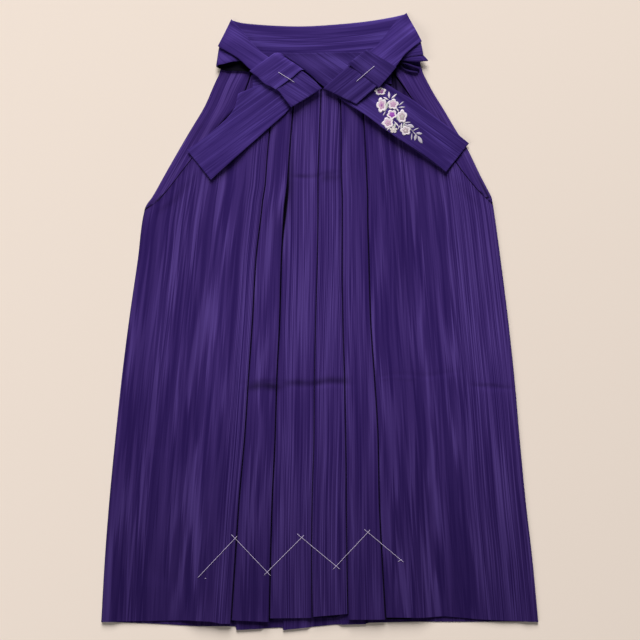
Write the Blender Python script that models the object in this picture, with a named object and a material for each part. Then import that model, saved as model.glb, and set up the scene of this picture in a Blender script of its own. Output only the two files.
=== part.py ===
"""Pleated skirt-type hakama laid flat, front side up, with its four straps folded on the waist.

X runs across the garment, Y runs from the hem to the waist and Z is up.
All tables are in millimetres. Y is counted from the front hem until the
pieces are centred at the end.
"""
import bmesh
import bpy
from mathutils import Vector
from mathutils.bvhtree import BVHTree

MM = 0.001

CLOTH = 1.0            # thickness of the skirt cloth as a wall
PITCH = 1.35           # from one folded layer to the next
SEAM_GAP = 0.3         # room between pieces that lie on each other
STRAP = 2.0            # thickness of a folded strap
BAND = 2.4             # thickness of a waistband
THIN_STRAP = 1.4       # thickness of a strap pressed flat where it crosses or turns back
UNDER_LAYER = 1.2      # thickness of one single layer of a folded strap
LOOP_OPENING = 2.4     # height inside the open fold of the left strap
LAYER_ROOM = 0.4       # room between the layers of the folded strap at the right
WRAP_ROOM = 1.6        # room beside the straps that a turned strap goes around
TURNED_EDGE = 16.0     # width of the turned side edge of the back panel

BACK_LOW = CLOTH / 2
FRONT_LOW = BACK_LOW + 2 * PITCH + CLOTH + SEAM_GAP + 0.05
ON_ONE_LAYER = BACK_LOW + CLOTH + SEAM_GAP + 0.05
ON_TURNED_EDGE = ON_ONE_LAYER + PITCH

FOLD_STEP = 1.5        # from the edge of a pleat to the start of the next flat part
FOLD_SLOPE = 7.0       # width over which the cloth comes down beside a pleat

Y_MIDDLE = 520.0       # middle of the garment's length, put on the origin

# One row per cross-section of the front panel: y from the hem, both sides,
# the five pleat edges from left to right, the depth of a pleat,
# and the heights of the side edge and of the flat part beside the pleats.
FRONT_ROWS = (
    # y, left, edge_1, edge_2, edge_3, edge_4, edge_5, right, depth, side_z, lay_z
    (0, -378, -154, -88, -12, 50, 115, 378, 48, ON_TURNED_EDGE, ON_ONE_LAYER),
    (107, -372, -147, -86, -13, 48, 109, 368, 46, ON_TURNED_EDGE, ON_ONE_LAYER),
    (211, -364, -140, -83, -12, 47, 104, 356, 44, ON_TURNED_EDGE, ON_ONE_LAYER),
    (315, -354, -131, -78, -9, 46, 102, 346, 42, ON_TURNED_EDGE, ON_ONE_LAYER),
    (419, -343, -124, -75, -8, 44, 96, 337, 39, ON_TURNED_EDGE, ON_ONE_LAYER),
    (522, -330, -117, -70, -6, 41, 89, 326, 36, ON_TURNED_EDGE, ON_ONE_LAYER),
    (626, -315, -111, -67, -3, 40, 86, 313, 34, ON_TURNED_EDGE, ON_ONE_LAYER),
    (713, -303, -101, -62, -2, 40, 84, 301, 31, ON_TURNED_EDGE, ON_ONE_LAYER),
    (756, -256, -95, -57, -2, 39, 83, 264, 29, ON_TURNED_EDGE, ON_ONE_LAYER),
    (799, -223, -92, -54, -1, 38, 81, 232, 28, ON_ONE_LAYER, ON_ONE_LAYER),
    (851, -181, -87, -50, 1, 38, 78, 197, 27, ON_ONE_LAYER, ON_ONE_LAYER + 0.4),
    (903, -135, -82, -45, 3, 37, 75, 160, 24, ON_ONE_LAYER + 0.8, ON_ONE_LAYER + 1.6),
    (946, -118, -76, -40, 4, 37, 72, 128, 22, ON_ONE_LAYER + 2.6, ON_ONE_LAYER + 3.4),
)

# How far each part of the front hem lies above the lowest hem line.
FRONT_HEM = (
    # x, lift
    (-378, 0.0), (-225, 3.0), (-170, -2.0), (-154, -2.0), (-88, 1.0), (-86, 6.0), (-12, 8.0),
    (-10, 10.0), (50, 15.0), (52, 6.0), (115, 5.0), (117, 9.0), (215, 10.0), (283, 4.0), (378, 0.0),
)

# The front panel ends level under its waistband.
FRONT_TOP = ((-118, 0.0), (128, 0.0))

# One row per cross-section of the back panel: its sides and the three pleat edges.
BACK_ROWS = (
    # y, left, edge_1, edge_2, edge_3, right, depth
    (0, -378, -145, -64, 80, 378, 40),
    (107, -372, -135, -58, 77, 368, 38),
    (211, -364, -124, -53, 73, 356, 36),
    (315, -354, -114, -48, 70, 346, 34),
    (419, -343, -103, -43, 66, 337, 32),
    (522, -330, -93, -36, 63, 326, 30),
    (626, -315, -83, -29, 59, 313, 28),
    (713, -304, -74, -24, 56, 301, 26),
    (773, -269, -69, -20, 54, 276, 24),
    (822, -241, -64, -17, 52, 254, 22),
    (851, -224, -60, -15, 51, 236, 20),
    (893, -199, -57, -12, 49, 211, 19),
    (924, -185, -53, -10, 47, 191, 18),
    (952, -171, -51, -8, 45, 175, 17),
    (978, -166, -48, -6, 44, 170, 16),
)

BACK_HEM = (
    # x, lift
    (-378, 0.0), (-285, -3.5), (-210, -8.0), (-146, -8.0), (-144, -14.0), (-65, -10.0),
    (-63, -14.0), (26, -5.0), (80, -4.0), (82, -2.0), (170, 0.0), (378, 0.0),
)

# How far the top edge of the back panel rises to meet the waistband.
BACK_TOP = (
    # x, lift
    (-166, 14.0), (-138, 9.4), (-77, 2.2), (-26, 1.2), (30, 2.8), (85, 5.0), (136, 12.6), (170, 22.0),
)

# Edge pairs of the flat pieces, one row per cross-section along the piece.
BACK_BAND_ROWS = (
    # top_x, top_y, bottom_x, bottom_y
    (-151, 1041, -173, 996),
    (-129, 1036, -138, 989),
    (-77, 1032, -77, 981),
    (-26, 1031, -26, 980),
    (26, 1034, 30, 982),
    (78, 1039, 85, 984),
    (122, 1046, 136, 992),
    (148, 1052, 173, 1003),
)
FRONT_BAND_ROWS = (
    (-116, 955, -116, 922),
    (-60, 962, -60, 927),
    (0, 966, 0, 932),
    (60, 966, 60, 933),
    (124, 962, 124, 930),
)
STRAP_PLAIN_ROWS = (
    # upper_x, upper_y, lower_x, lower_y
    (-230, 816, -188, 765),
    (-207, 832, -155, 794),
    (-185, 849, -121, 824),
    (-159, 872, -86, 855),
    (-146, 890, -60, 878),
    (-141, 913, -50, 890),
    (-100, 930, -20, 915),
    (-60, 958, 20, 945),
)
STRAP_LEFT_ROWS = (
    # lower_x, lower_y, upper_x, upper_y
    (-176, 995, -153, 1043),
    (-159, 985, -133, 1021),
    (-140, 973, -114, 998),
    (-126, 960, -95, 981),
    (-110, 945, -77, 972),
    (-96, 930, -55, 967),
    (-73, 918, -31, 952),
    (-62, 905, -13, 938),
    (-49, 888, 4, 921),
)
STRAP_FLOWER_ROWS = (
    # upper_x, upper_y, lower_x, lower_y
    (82, 986, -67, 983),
    (72, 972, -50, 971),
    (60, 962, -31, 957),
    (72, 952, -13, 942),
    (88, 942, 4, 927),
    (111, 932, 40, 904),
    (139, 915, 83, 878),
    (160, 903, 113, 857),
    (184, 885, 141, 837),
    (208, 867, 168, 817),
    (234, 847, 194, 797),
    (258, 828, 218, 778),
)
STRAP_FLOWER_UNDER_ROWS = (
    (128, 905, 96, 866),
    (160, 896, 128, 844),
    (195, 868, 165, 815),
    (224, 844, 206, 787),
)
STRAP_RIGHT_ROWS = (
    # lower_x, lower_y, upper_x, upper_y
    (176, 1003, 150, 1054),
    (163, 994, 132, 1039),
    (146, 979, 113, 1015),
    (132, 960, 98, 996),
    (118, 944, 82, 985),
    (104, 931, 64, 973),
    (96, 923, 49, 960),
    (80, 909, 30, 943),
    (63, 894, 6, 921),
)
# The short strap across the left stack, from its outer end to the end below the flower strap.
STRAP_CROSS_ROWS = (
    # upper_x, upper_y, lower_x, lower_y
    (-121, 951, -76, 919),
    (-107, 962, -62, 929),
    (-91, 973, -46, 941),
    (-77, 983, -31, 953),
    (-66, 984, -22, 950),
)
# The turn around the right stack: both ends of each cross-section.
WRAP_RIGHT_ROWS = (
    # outer_x, outer_y, inner_x, inner_y
    (130, 964, 82, 991),
    (114, 944, 65, 977),
    (97, 925, 48, 963),
)
# The front strap turned back on itself at the left, fold end first.
LOOP_LEFT_ROWS = (
    # lower_far_x, lower_y, fold_x, fold_y, upper_far_x, upper_y
    (-120, 993, -173, 990, -120, 996),
    (-120, 972, -176, 974, -120, 982),
    (-120, 953, -178, 961, -120, 968),
)
# The front strap folded to and fro at the right, lowest layer first.
LAYERS_RIGHT = (
    # root_shift, fold_shift, reach_upper, reach_lower
    (2.0, -9.0, 172, 172),
    (5.0, -3.0, 171, 174),
    (8.0, 4.0, 170, 173),
    (10.0, 9.0, 172, 187),
    (12.0, 21.0, 174, 178),
)
LAYERS_ROOT_X = 138.0
LAYERS_TOP_Y = 1001.0
LAYERS_WIDTH = 41.0

# Positions of the points across a folded strip, close together at its rounded edges.
ACROSS = (0.0, 0.03, 0.35, 0.65, 0.97, 1.0)


def at(table, x):
    """Value of a two-column table at x, in straight lines between its rows."""
    if x <= table[0][0]:
        return table[0][1]
    for (x0, v0), (x1, v1) in zip(table, table[1:]):
        if x <= x1:
            return v0 + (v1 - v0) * (x - x0) / (x1 - x0)
    return table[-1][1]


def fold(edge, side, z_first, z_last):
    """Three points of a fold whose outer face ends at edge; side is 1 for a fold to the right."""
    radius = abs(z_last - z_first) / 2
    crown = CLOTH * 0.7
    inner = edge - side * (crown + radius)
    middle = (z_first + z_last) / 2
    return [(inner, z_first), (edge - side * crown, middle), (inner, z_last)]


def front_section(row):
    """Centreline of the front panel from the left side to the right one."""
    _, left, e1, e2, e3, e4, e5, right, depth, side_z, lay_z = row
    low, mid, top = FRONT_LOW, FRONT_LOW + PITCH, FRONT_LOW + 2 * PITCH
    step = FOLD_STEP
    inner_1 = e1 - depth
    inner_5 = e5 + depth
    wide_left = inner_1 - left
    wide_right = right - inner_5
    points = [(left, side_z), (left + min(19, wide_left * 0.2), side_z),
              (left + min(32, wide_left * 0.4), lay_z),
              (inner_1 - min(46, wide_left * 0.35), lay_z), (inner_1 - step, top)]
    points += fold(e1, 1, top, mid) + fold(inner_1, -1, mid, low)
    points += [(e1 + step, low), (e2 - depth - step, top)]
    points += fold(e2, 1, top, mid) + fold(e2 - depth, -1, mid, low)
    points += [(e2 + step, low)]
    for edge in (e3, e4, e5):
        points += [(edge - step, low)]
        points += fold(edge + depth, 1, low, mid) + fold(edge, -1, mid, top)
        points += [(edge + depth + step, top)]
    points += [(inner_5 + min(46, wide_right * 0.35), lay_z),
               (right - min(32, wide_right * 0.4), lay_z),
               (right - min(19, wide_right * 0.2), side_z), (right, side_z)]
    return points


def back_section(row):
    """Centreline of the back panel with both side edges turned in."""
    _, left, e1, e2, e3, right, depth = row
    low, mid, top = BACK_LOW, BACK_LOW + PITCH, BACK_LOW + 2 * PITCH
    step = FOLD_STEP
    points = [(left + TURNED_EDGE, mid)] + fold(left, -1, mid, low)
    points += [(left + (e1 - left) * f, low) for f in (0.25, 0.5, 0.75)]
    for edge in (e1, e2):
        points += fold(edge + depth, 1, low, mid) + fold(edge, -1, mid, top)
        points += [(edge + depth + step, top), (edge + depth + step + FOLD_SLOPE, low)]
    points += [(e3 - depth - step - FOLD_SLOPE, low), (e3 - depth - step, top)]
    points += fold(e3, 1, top, mid) + fold(e3 - depth, -1, mid, low)
    points += [(e3 + (right - e3) * f, low) for f in (0.25, 0.5, 0.75)]
    points += fold(right, 1, low, mid) + [(right - TURNED_EDGE, mid)]
    return points


def wall_ring(points, thickness):
    """Closed outline of a wall with this thickness around a centreline of (x, z) points."""
    count = len(points)
    sides = []
    for i, (x, z) in enumerate(points):
        before = points[max(i - 1, 0)]
        after = points[min(i + 1, count - 1)]
        d0 = Vector((x - before[0], z - before[1]))
        d1 = Vector((after[0] - x, after[1] - z))
        if i == 0:
            d0 = d1
        if i == count - 1:
            d1 = d0
        n0 = Vector((-d0.y, d0.x)).normalized()
        n1 = Vector((-d1.y, d1.x)).normalized()
        bisector = (n0 + n1).normalized()
        reach = thickness / 2 / max(bisector.dot(n0), 0.5)
        sides.append(bisector * reach)
    above = [(p[0] + s.x, p[1] + s.y) for p, s in zip(points, sides)]
    below = [(p[0] - s.x, p[1] - s.y) for p, s in zip(points, sides)]
    return above + below[::-1]


def make_object(name, verts, faces, colour):
    mesh = bpy.data.meshes.new(name)
    mesh.from_pydata([Vector(v) * MM for v in verts], [], faces)
    bm = bmesh.new()
    bm.from_mesh(mesh)
    bmesh.ops.triangulate(bm, faces=bm.faces[:])
    bmesh.ops.recalc_face_normals(bm, faces=bm.faces[:])
    bm.to_mesh(mesh)
    bm.free()
    obj = bpy.data.objects.new(name, mesh)
    bpy.context.scene.collection.objects.link(obj)
    material = bpy.data.materials.new(name + "_cloth")
    material.use_nodes = True
    shader = material.node_tree.nodes["Principled BSDF"]
    shader.inputs["Base Color"].default_value = colour
    shader.inputs["Roughness"].default_value = 0.75
    mesh.materials.append(material)
    return obj


def loft(name, rings, colour):
    """Closed body through rings with the same number of points."""
    size = len(rings[0])
    half = size // 2
    verts = [point for ring in rings for point in ring]
    faces = []
    for r in range(len(rings) - 1):
        for i in range(size):
            j = (i + 1) % size
            faces.append((r * size + i, r * size + j, (r + 1) * size + j, (r + 1) * size + i))
    for start in (0, (len(rings) - 1) * size):
        for i in range(half - 1):
            faces.append((start + i, start + i + 1, start + size - 2 - i, start + size - 1 - i))
    return make_object(name, verts, faces, colour)


def panel(name, rows, section, hem, top, colour):
    rings = []
    for number, row in enumerate(rows):
        ring = []
        for x, z in wall_ring(section(row), CLOTH):
            lift = 0.0
            if number == 0:
                lift = at(hem, x)
            elif number == len(rows) - 1:
                lift = at(top, x)
            ring.append((x, row[0] + lift, z))
        rings.append(ring)
    return loft(name, rings, colour)


def surface_of(objects):
    trees = []
    for obj in objects:
        mesh = obj.data
        trees.append(BVHTree.FromPolygons([v.co for v in mesh.vertices],
                                          [tuple(p.vertices) for p in mesh.polygons]))
    return trees


def height_at(trees, x, y):
    """Height of the highest surface under a point of the plan, in millimetres."""
    best = 0.0
    for tree in trees:
        hit = tree.ray_cast(Vector((x * MM, y * MM, 0.2)), Vector((0, 0, -1)))
        if hit[0] is not None:
            best = max(best, hit[0].z / MM)
    return best


def between(rows, steps):
    """The same rows with more of them in straight lines between."""
    result = []
    for a, b in zip(rows, rows[1:]):
        for k in range(steps):
            f = k / steps
            result.append(tuple(p + (q - p) * f for p, q in zip(a, b)))
    result.append(rows[-1])
    return result


def rest_heights(rows, across, trees, smooth):
    """Lowest free height under a grid of rows and positions across, with the seam gap."""
    def spot(row, u):
        return row[0] + (row[2] - row[0]) * u, row[1] + (row[3] - row[1]) * u

    fine = 5
    cells = []
    for a, b in zip(rows, rows[1:]):
        line = []
        for u0, u1 in zip(across, across[1:]):
            high = 0.0
            for i in range(fine + 1):
                f = i / fine
                row = tuple(p + (q - p) * f for p, q in zip(a, b))
                for j in range(fine + 1):
                    x, y = spot(row, u0 + (u1 - u0) * j / fine)
                    high = max(high, height_at(trees, x, y))
            line.append(high)
        cells.append(line)
    grid = []
    for r in range(len(rows)):
        line = []
        for c in range(len(across)):
            near = [cells[i][j] for i in (r - 1, r) for j in (c - 1, c)
                    if 0 <= i < len(cells) and 0 <= j < len(cells[0])]
            line.append(max(near) + SEAM_GAP)
        grid.append(line)
    for _ in range(smooth):
        old = [line[:] for line in grid]
        for r in range(1, len(rows) - 1):
            for c in range(len(across)):
                grid[r][c] = max(old[r][c], (old[r - 1][c] + old[r + 1][c]) / 2)
    return grid


def flat_piece(name, rows, trees, thickness, colour, steps=2):
    """A folded strip with rounded edges that lies on the pieces in trees."""
    rows = between(rows, steps)
    grid = rest_heights(rows, ACROSS, trees, 3)
    rings = []
    last = len(rows) - 1
    for r, row in enumerate(rows):
        thin = 0.6 if r in (0, last) else 1.0
        under = []
        over = []
        for c, u in enumerate(ACROSS):
            x = row[0] + (row[2] - row[0]) * u
            y = row[1] + (row[3] - row[1]) * u
            edge = 0.45 if c in (0, len(ACROSS) - 1) else 1.0
            middle = grid[r][c] + thickness / 2
            half = thickness / 2 * thin * edge
            over.append((x, y, middle + half))
            under.append((x, y, middle - half))
        rings.append(over + under[::-1])
    return loft(name, rings, colour)


def wrap_piece(name, rows, trees, low_trees, thickness, colour):
    """A strap turned over the strap below it, with both ends bent down around its edges."""
    rows = between(rows, 2)
    grid = rest_heights(rows, ACROSS, trees, 0)
    top = max(max(line) for line in grid)
    lines = []
    feet = [0.0, 0.0]
    for row in rows:
        run = Vector((row[2] - row[0], row[3] - row[1]))
        length = run.length
        run.normalize()
        covered = [s for s in range(-12, int(length) + 13)
                   if height_at(trees, row[0] + run.x * s, row[1] + run.y * s) > 0]
        room = thickness / 2 + SEAM_GAP + WRAP_ROOM
        ends = (covered[0] - room, covered[-1] + room)
        for number, end in enumerate(ends):
            x = row[0] + run.x * end
            y = row[1] + run.y * end
            under = max(height_at(low_trees, x + dx, y + dy) for dx in (-3, 0, 3) for dy in (-3, 0, 3))
            feet[number] = max(feet[number], under + SEAM_GAP)
        lines.append((row, run, ends))
    height = top + thickness / 2
    rings = []
    for row, run, ends in lines:
        middle = (ends[0] + ends[1]) / 2
        line = [(ends[0], feet[0]), (ends[0], height - 0.9), (ends[0] + 0.9, height), (middle, height),
                (ends[1] - 0.9, height), (ends[1], height - 0.9), (ends[1], feet[1])]
        rings.append([(row[0] + run.x * s, row[1] + run.y * s, z) for s, z in wall_ring(line, thickness)])
    return loft(name, rings, colour)


def loop_piece(name, rows, trees, thickness, colour):
    """A strap turned back on itself with an open fold at its left end."""
    rings = []
    base = 0.0
    for row in rows:
        for x in range(int(row[2]), int(row[0]), 3):
            for y in (row[1], row[3], row[5]):
                base = max(base, height_at(trees, x, y))
    low = base + SEAM_GAP + thickness / 2
    high = low + thickness + LOOP_OPENING
    for row in rows:
        far_low, y_low, fold_x, fold_y, far_high, y_high = row
        line = [(far_low, low), (fold_x + 30, low), (fold_x + 5, low + 0.1),
                (fold_x + thickness / 2, (low + high) / 2),
                (fold_x + 5, high - 0.1), (fold_x + 30, high - 0.8), (far_high, high - 1.2)]
        ys = [y_low, y_low + (fold_y - y_low) * 0.3, fold_y, fold_y, fold_y,
              y_high + (fold_y - y_high) * 0.3, y_high]
        ring = []
        for i, (x, z) in enumerate(wall_ring(line, thickness)):
            k = i if i < len(line) else 2 * len(line) - 1 - i
            ring.append((x, ys[k], z))
        rings.append(ring)
    return loft(name, rings, colour)


def layered_piece(name, layers, trees, thickness, colour):
    """A strap folded to and fro in a fan, its lower edges showing one beside the other."""
    base = 0.0
    for x in range(int(LAYERS_ROOT_X) - 3, int(max(row[3] for row in layers)) + 1, 2):
        for y in range(int(LAYERS_TOP_Y - LAYERS_WIDTH) - 12, int(LAYERS_TOP_Y) + 4, 2):
            base = max(base, height_at(trees, x, y))
    pitch = thickness + LAYER_ROOM
    radius = pitch / 2
    crown = thickness * 0.7
    low = base + SEAM_GAP + thickness / 2
    last = len(layers) - 1
    rings = []
    for f in (0.0, 0.35, 0.7, 1.0):
        line = []
        shift = []
        for number, (root_shift, fold_shift, upper, lower) in enumerate(layers):
            z = low + number * pitch
            reach = upper + (lower - upper) * f * f
            stops = [LAYERS_ROOT_X if number in (0, last) else LAYERS_ROOT_X + crown + radius,
                     (LAYERS_ROOT_X + reach) / 2, reach - radius - crown]
            drops = [root_shift, (root_shift + fold_shift) / 2, fold_shift]
            if number % 2:
                stops.reverse()
                drops.reverse()
            line += [(x, z) for x in stops]
            shift += drops
            if number < last:
                turn = reach - crown if number % 2 == 0 else LAYERS_ROOT_X + crown
                line.append((turn, z + radius))
                shift.append((fold_shift + layers[number + 1][1]) / 2 if number % 2 == 0 else root_shift)
        size = len(line)
        ring = []
        for i, (x, z) in enumerate(wall_ring(line, thickness)):
            k = i if i < size else 2 * size - 1 - i
            ring.append((x, LAYERS_TOP_Y - LAYERS_WIDTH * f + shift[k] * f, z))
        rings.append(ring)
    return loft(name, rings, colour)


def main():
    for obj in list(bpy.data.objects):
        bpy.data.objects.remove(obj)
    purple = (0.045, 0.02, 0.17, 1.0)
    violet = (0.055, 0.025, 0.19, 1.0)
    flower_cloth = (0.06, 0.028, 0.2, 1.0)

    back = panel("back_panel", BACK_ROWS, back_section, BACK_HEM, BACK_TOP, purple)
    front = panel("front_panel", FRONT_ROWS, front_section, FRONT_HEM, FRONT_TOP, purple)
    pieces = [back, front]
    band = flat_piece("back_waistband", BACK_BAND_ROWS, [], BAND, violet, 1)
    pieces.append(band)
    front_band = flat_piece("front_waistband", FRONT_BAND_ROWS, surface_of(pieces), BAND, violet, 4)
    pieces.append(front_band)
    plain = flat_piece("front_strap_plain", STRAP_PLAIN_ROWS, surface_of(pieces), STRAP, violet)
    pieces.append(plain)
    loop = loop_piece("front_strap_loop", LOOP_LEFT_ROWS, surface_of([back, band, front]), THIN_STRAP, violet)
    pieces.append(loop)
    layers = layered_piece("front_strap_layers", LAYERS_RIGHT, surface_of([back, band, front, front_band]),
                           UNDER_LAYER, violet)
    pieces.append(layers)
    under = flat_piece("front_strap_flower_under", STRAP_FLOWER_UNDER_ROWS, surface_of(pieces),
                       UNDER_LAYER, flower_cloth)
    pieces.append(under)
    left = flat_piece("back_strap_left", STRAP_LEFT_ROWS, surface_of(pieces), STRAP, violet)
    pieces.append(left)
    wrap_left = flat_piece("strap_wrap_left", STRAP_CROSS_ROWS, surface_of(pieces), THIN_STRAP, violet)
    pieces.append(wrap_left)
    flower = flat_piece("front_strap_flower", STRAP_FLOWER_ROWS, surface_of(pieces), STRAP, flower_cloth)
    pieces.append(flower)
    right = flat_piece("back_strap_right", STRAP_RIGHT_ROWS, surface_of(pieces), STRAP, violet)
    below_right = surface_of(pieces)
    pieces.append(right)
    wrap_right = wrap_piece("strap_wrap_right", WRAP_RIGHT_ROWS, surface_of([right]), below_right,
                            THIN_STRAP, violet)
    pieces.append(wrap_right)

    for obj in pieces:
        for vertex in obj.data.vertices:
            vertex.co.y -= Y_MIDDLE * MM


main()
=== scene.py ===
import math

import bmesh
import bpy
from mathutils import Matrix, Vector, noise
from mathutils.bvhtree import BVHTree


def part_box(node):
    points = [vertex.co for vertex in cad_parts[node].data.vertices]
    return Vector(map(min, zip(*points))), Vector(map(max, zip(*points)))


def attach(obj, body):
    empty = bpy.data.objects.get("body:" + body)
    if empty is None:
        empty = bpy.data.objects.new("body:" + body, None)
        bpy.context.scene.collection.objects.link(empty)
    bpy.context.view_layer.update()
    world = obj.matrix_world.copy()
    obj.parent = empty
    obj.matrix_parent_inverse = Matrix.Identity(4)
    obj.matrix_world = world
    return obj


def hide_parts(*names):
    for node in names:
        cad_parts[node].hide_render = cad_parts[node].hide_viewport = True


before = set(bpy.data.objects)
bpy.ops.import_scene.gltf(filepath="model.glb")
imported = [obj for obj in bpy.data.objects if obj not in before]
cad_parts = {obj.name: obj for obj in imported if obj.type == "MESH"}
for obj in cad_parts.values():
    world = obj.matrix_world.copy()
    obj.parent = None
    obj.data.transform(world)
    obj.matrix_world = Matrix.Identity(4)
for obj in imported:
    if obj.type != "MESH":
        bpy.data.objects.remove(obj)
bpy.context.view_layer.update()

# A skirt-type hakama laid flat on a pale floor, front side up.
# Sizes are millimetres, x to the right, y up from the front hem, z up from the floor.
# The garment's middle, 520 mm above the hem, is on the origin.

mm = 0.001
garmentMiddle = 520.0


def place(x, y, z):
    return Vector((x * mm, (y - garmentMiddle) * mm, z * mm))


def smoothStep(f):
    f = min(max(f, 0.0), 1.0)
    return f * f * (3 - 2 * f)


def curveAt(rows, column, y):
    # value of a column at y, as a smooth line through the rows without overshoot
    last = len(rows) - 1
    if y <= rows[0][0]:
        return rows[0][column]
    if y >= rows[last][0]:
        return rows[last][column]
    i = max(k for k in range(last) if rows[k][0] <= y)
    slopes = []
    for k in (i, i + 1):
        if k in (0, last):
            a, b = (0, 1) if k == 0 else (last - 1, last)
            slopes.append((rows[b][column] - rows[a][column]) / (rows[b][0] - rows[a][0]))
            continue
        s0 = (rows[k][column] - rows[k - 1][column]) / (rows[k][0] - rows[k - 1][0])
        s1 = (rows[k + 1][column] - rows[k][column]) / (rows[k + 1][0] - rows[k][0])
        slopes.append(2 * s0 * s1 / (s0 + s1) if s0 * s1 > 0 else 0.0)
    h = rows[i + 1][0] - rows[i][0]
    t = (y - rows[i][0]) / h
    p0, p1 = rows[i][column], rows[i + 1][column]
    return ((2 * t ** 3 - 3 * t ** 2 + 1) * p0 + (t ** 3 - 2 * t ** 2 + t) * h * slopes[0]
            + (3 * t ** 2 - 2 * t ** 3) * p1 + (t ** 3 - t ** 2) * h * slopes[1])


def lineAt(table, x):
    # straight lines between the rows of a two-column table
    if x <= table[0][0]:
        return table[0][1]
    for (x0, v0), (x1, v1) in zip(table, table[1:]):
        if x <= x1:
            return v0 + (v1 - v0) * (x - x0) / (x1 - x0)
    return table[-1][1]


def bell(away, half):
    # 1 in the middle, and fading on both sides of it
    return math.exp(-(away / half) ** 2)


def addObject(name, data):
    thing = bpy.data.objects.new(name, data)
    bpy.context.scene.collection.objects.link(thing)
    return thing


def faceOutward(mesh):
    bm = bmesh.new()
    bm.from_mesh(mesh)
    bmesh.ops.recalc_face_normals(bm, faces=bm.faces[:])
    bm.to_mesh(mesh)
    bm.free()


# Materials

def linearColour(hexText):
    values = []
    for k in (0, 2, 4):
        c = int(hexText[k:k + 2], 16) / 255
        values.append(c / 12.92 if c <= 0.04045 else ((c + 0.055) / 1.055) ** 2.4)
    return (*values, 1.0)


def addNode(tree, kind, settings=None, inputs=None, links=None):
    node = tree.nodes.new(kind)
    for key, value in (settings or {}).items():
        setattr(node, key, value)
    for key, value in (inputs or {}).items():
        node.inputs[key].default_value = value
    for key, source in (links or {}).items():
        tree.links.new(source, node.inputs[key])
    return node


def startMaterial(name):
    material = bpy.data.materials.new(name)
    material.use_nodes = True
    return material, material.node_tree, material.node_tree.nodes["Principled BSDF"]


skirtDye = {
    "dark": "2b1959", "middle": "3e2a6e", "light": "594490",
    "broadWidth": 17.0, "broadLength": 150.0,     # mm, bunches of dyed yarn with blurred ends
    "bunchWidth": 6.0, "bunchShift": 95.0,        # mm, each narrow bunch starts at a height of its own
    "cloudWidth": 60.0, "cloudLength": 380.0,     # mm, slow change of tone
    "fineWidth": 2.1, "fineLength": 420.0,        # mm, narrow stripes
    "broadShare": 0.56, "bunchShare": 0.20,       # how much each kind of streak lightens the soft cloth
    "cloudShare": 0.6, "cloudFloor": 0.55,        # how far the slow change goes, and where it starts
    "fineShare": 0.70, "broadUnderFine": 0.22,    # the same for cloth with narrow stripes
    "middleAt": 0.42,                             # place of the middle colour between dark and light
    "weave": 1.1,                                 # mm between threads, real ones are closer
    "weaveRelief": 0.22, "weaveHeight": 0.2,      # strength and height in mm of the threads' relief
    "paintedShadeTo": 560.0, "paintedShadeHem": 0.62,           # painted shade toward the hem: full colour above this height in mm, this share of it at the hem
    "creviceDepth": 0.97,                         # painted shade: how far the crevice attribute darkens the cloth, as cloth inside the folds gets no light
}
# low and high end of the noise that becomes each kind of streak, and a shift that makes its pattern its own
streakKinds = {"broad": (0.36, 0.68, 3.1), "bunch": (0.34, 0.70, 17.3), "cloud": (0.28, 0.66, 41.7),
               "fine": (0.34, 0.68, 7.9)}
bunchStart = (4000.0, 5.3)      # mm, length and shift of the noise that starts each bunch at its own height
clothShine = {"Roughness": 0.7, "IOR": 1.46, "Specular IOR Level": 0.05, "Sheen Weight": 0.01,
              "Sheen Roughness": 0.45}


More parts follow.
